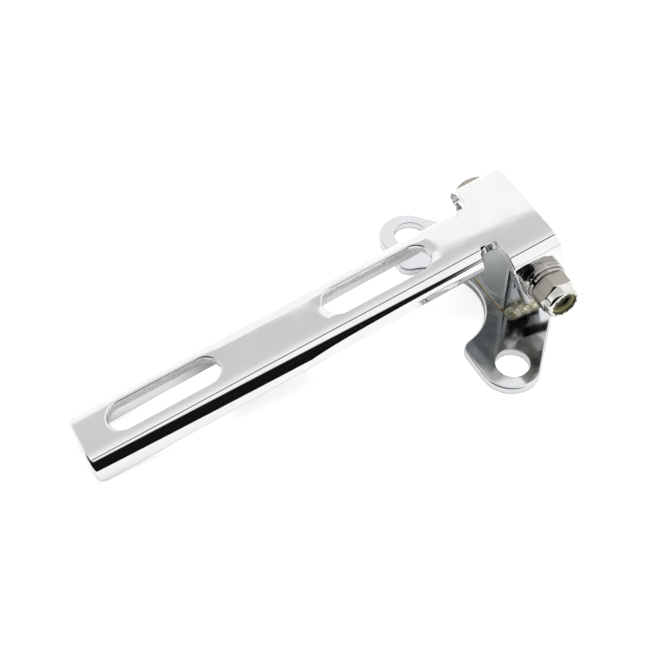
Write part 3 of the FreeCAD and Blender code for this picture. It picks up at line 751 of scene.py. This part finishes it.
place("nyloc_nut", surface(nut_field, (-7.9, -7.9, -0.4), (7.9, 7.9, 10.5), 0.14),
      on_pivot(FACE["lock_nut"][1], HEX_TURNS["nut"]), "lock_nut", "stand_leg", "nut_steel", nut_steel,
      hex_wear(NUT_HEX))
place("hex_bolt", surface(bolt_field, (-7.9, -7.9, -0.4), (7.9, 7.9, 61.0), 0.2),
      on_pivot(FACE["pivot_bolt"][1], HEX_TURNS["head"]), "pivot_bolt", "stand_leg", "bolt_steel",
      bolt_metal, hex_wear(HEAD_HEIGHT))


# ---------------------------------------------------------------- stage, light and camera
def stage_mesh(name, corners, material):
    mesh = bpy.data.meshes.new(name)
    mesh.from_pydata(corners, [], [tuple(range(len(corners)))])
    mesh.materials.append(material)
    item = bpy.data.objects.new(name, mesh)
    bpy.context.scene.collection.objects.link(item)
    return item


def glow(name, colour, strength):
    material = bpy.data.materials.new(name)
    material.use_nodes = True
    tree = material.node_tree
    tree.nodes.clear()
    output = tree.nodes.new("ShaderNodeOutputMaterial")
    emit = tree.nodes.new("ShaderNodeEmission")
    emit.inputs["Color"].default_value = (*colour, 1)
    emit.inputs["Strength"].default_value = strength
    link(tree, emit.outputs[0], output.inputs[0])
    return material


def floor_material(name, albedo, glow_level):
    material = bpy.data.materials.new(name)
    material.use_nodes = True
    tree = material.node_tree
    tree.nodes.clear()
    output = tree.nodes.new("ShaderNodeOutputMaterial")
    diffuse = tree.nodes.new("ShaderNodeBsdfDiffuse")
    diffuse.inputs["Color"].default_value = (albedo, albedo, albedo, 1)
    emit = tree.nodes.new("ShaderNodeEmission")
    emit.inputs["Strength"].default_value = glow_level
    add = tree.nodes.new("ShaderNodeAddShader")
    link(tree, diffuse.outputs[0], add.inputs[0])
    link(tree, emit.outputs[0], add.inputs[1])
    link(tree, add.outputs[0], output.inputs[0])
    return material


def square(half, height):
    return [(-half, -half, height), (half, -half, height), (half, half, height), (-half, half, height)]


# The camera sees one sheet of the floor, over-exposed to plain white; the chrome sees the other.
FLOOR_HALF = 1.6
floor_seen = stage_mesh("floor_seen", square(FLOOR_HALF, -0.0003), floor_material("pale_floor", 0.5, 0.72))
floor_seen.visible_glossy = False
floor_seen.visible_diffuse = False
floor_seen.visible_shadow = False
floor_seen.visible_transmission = False
floor_lit = stage_mesh("floor_lit", square(FLOOR_HALF, -0.0005), floor_material("lit_floor", 0.93, 0.02))
floor_lit.visible_camera = False


def reflected_only(item):
    """A studio card that is seen in the chrome but not by the camera, and casts no shadow."""
    item.visible_camera = False
    item.visible_diffuse = False
    item.visible_shadow = False
    item.visible_transmission = False


# a dark cloth on the floor in front of the stand, which only reflections see
CLOTH_HEIGHT = 0.0004
CLOTH = [(-1.5, -0.01), (-0.06, -0.03), (0.05, -0.20), (0.50, -1.40), (-1.5, -1.40)]
reflected_only(stage_mesh("dark_cloth", [(x, y, CLOTH_HEIGHT) for x, y in CLOTH],
                          glow("cloth_black", grey(0.01), 1.0)))

light = bpy.data.lights.new("softbox", "AREA")
light.shape = "RECTANGLE"
light.size = 1.0
light.size_y = 0.8
light.energy = 16.0
softbox = bpy.data.objects.new("softbox", light)
bpy.context.scene.collection.objects.link(softbox)
softbox.location = (0.05, 0.06, 1.0)
softbox.rotation_euler = (Vector((0, 0, 0)) - softbox.location).to_track_quat("-Z", "Y").to_euler()
softbox.visible_glossy = False
softbox.visible_camera = False

# The studio as the chrome sees it. Angles are in degrees: "turn" runs from straight up towards
# -Y and on down, and "aside" leans from that circle towards +X.
world = bpy.data.worlds.new("studio")
bpy.context.scene.world = world
world.use_nodes = True
tree = world.node_tree
tree.nodes.clear()
output = tree.nodes.new("ShaderNodeOutputWorld")
seen = tree.nodes.new("ShaderNodeBackground")
lit = tree.nodes.new("ShaderNodeBackground")
seen.inputs["Color"].default_value = (1, 1, 1, 1)
direction = tree.nodes.new("ShaderNodeTexCoord")
parts = tree.nodes.new("ShaderNodeSeparateXYZ")
link(tree, direction.outputs["Generated"], parts.inputs[0])
turn = maths(tree, "ARCTAN2", maths(tree, "MULTIPLY", parts.outputs[1], -1.0), parts.outputs[2])
turn = maths(tree, "MULTIPLY", turn, 180 / math.pi)
aside = maths(tree, "MULTIPLY", maths(tree, "ARCSINE", parts.outputs[0]), 180 / math.pi)


def above(value, edge, soft):
    return remap(tree, value, edge - soft, edge + soft, 0, 1)


def both(*masks):
    out = masks[0]
    for mask in masks[1:]:
        out = maths(tree, "MULTIPLY", out, mask)
    return out


def sheared(slope):
    """The turn measured from a line that climbs with the lean to the side."""
    return maths(tree, "SUBTRACT", turn, maths(tree, "MULTIPLY", aside, slope))


def strip(value, low, high, soft):
    return both(above(value, low, soft), maths(tree, "SUBTRACT", 1.0, above(value, high, soft)))


def lay(under, mask, colour):
    return mixed(tree, mask, under, colour)


WHITE_CARD = grey(1.5)
ROOM_DARK = grey(0.01)
# a white studio with a dimmer ceiling overhead
CEILING = [(-60, grey(1.5)), (-35, grey(0.95)), (0, grey(1.0)), (35, grey(1.45))]
sky = ramp(tree, maths(tree, "ADD", maths(tree, "DIVIDE", turn, 360), 0.5),
           [((angle + 180) / 360, colour) for angle, colour in CEILING])
# the large softbox behind
behind = maths(tree, "SUBTRACT", 1.0, above(sheared(0.2), -36, 0.1))
sky = lay(sky, both(behind, above(aside, -2, 1)), WHITE_CARD)
# the narrow gap between the ceiling and the front card, and the dark room below the front card
sky = lay(sky, strip(sheared(-0.5), 34, 39, 0.5), ROOM_DARK)
sky = lay(sky, above(sheared(1.2), 60, 2), ROOM_DARK)
# the softbox at the pivot's side
sky = lay(sky, above(aside, 16, 1), WHITE_CARD)
link(tree, sky, lit.inputs["Color"])
path = tree.nodes.new("ShaderNodeLightPath")
mix = tree.nodes.new("ShaderNodeMixShader")
link(tree, path.outputs["Is Camera Ray"], mix.inputs[0])
link(tree, lit.outputs[0], mix.inputs[1])
link(tree, seen.outputs[0], mix.inputs[2])
link(tree, mix.outputs[0], output.inputs[0])
AMBIENT = 0.32      # the share of the world's light that falls on the matt floor
link(tree, remap(tree, path.outputs["Is Diffuse Ray"], 0, 1, 1.0, AMBIENT), lit.inputs["Strength"])

CAMERA_AT = (-0.2081, -0.2833, 0.3997)
CAMERA_AIM = (-0.05265, 0.00586, 0.010)
camera = bpy.data.objects.new("camera", bpy.data.cameras.new("camera"))
bpy.context.scene.collection.objects.link(camera)
camera.data.lens = 80.0
camera.data.sensor_width = 36.0
camera.data.clip_start = 0.01
camera.location = CAMERA_AT
aim = Vector(CAMERA_AIM) - camera.location
camera.rotation_euler = aim.to_track_quat("-Z", "Y").to_euler()
bpy.context.scene.camera = camera
bpy.context.scene.view_settings.view_transform = "Standard"
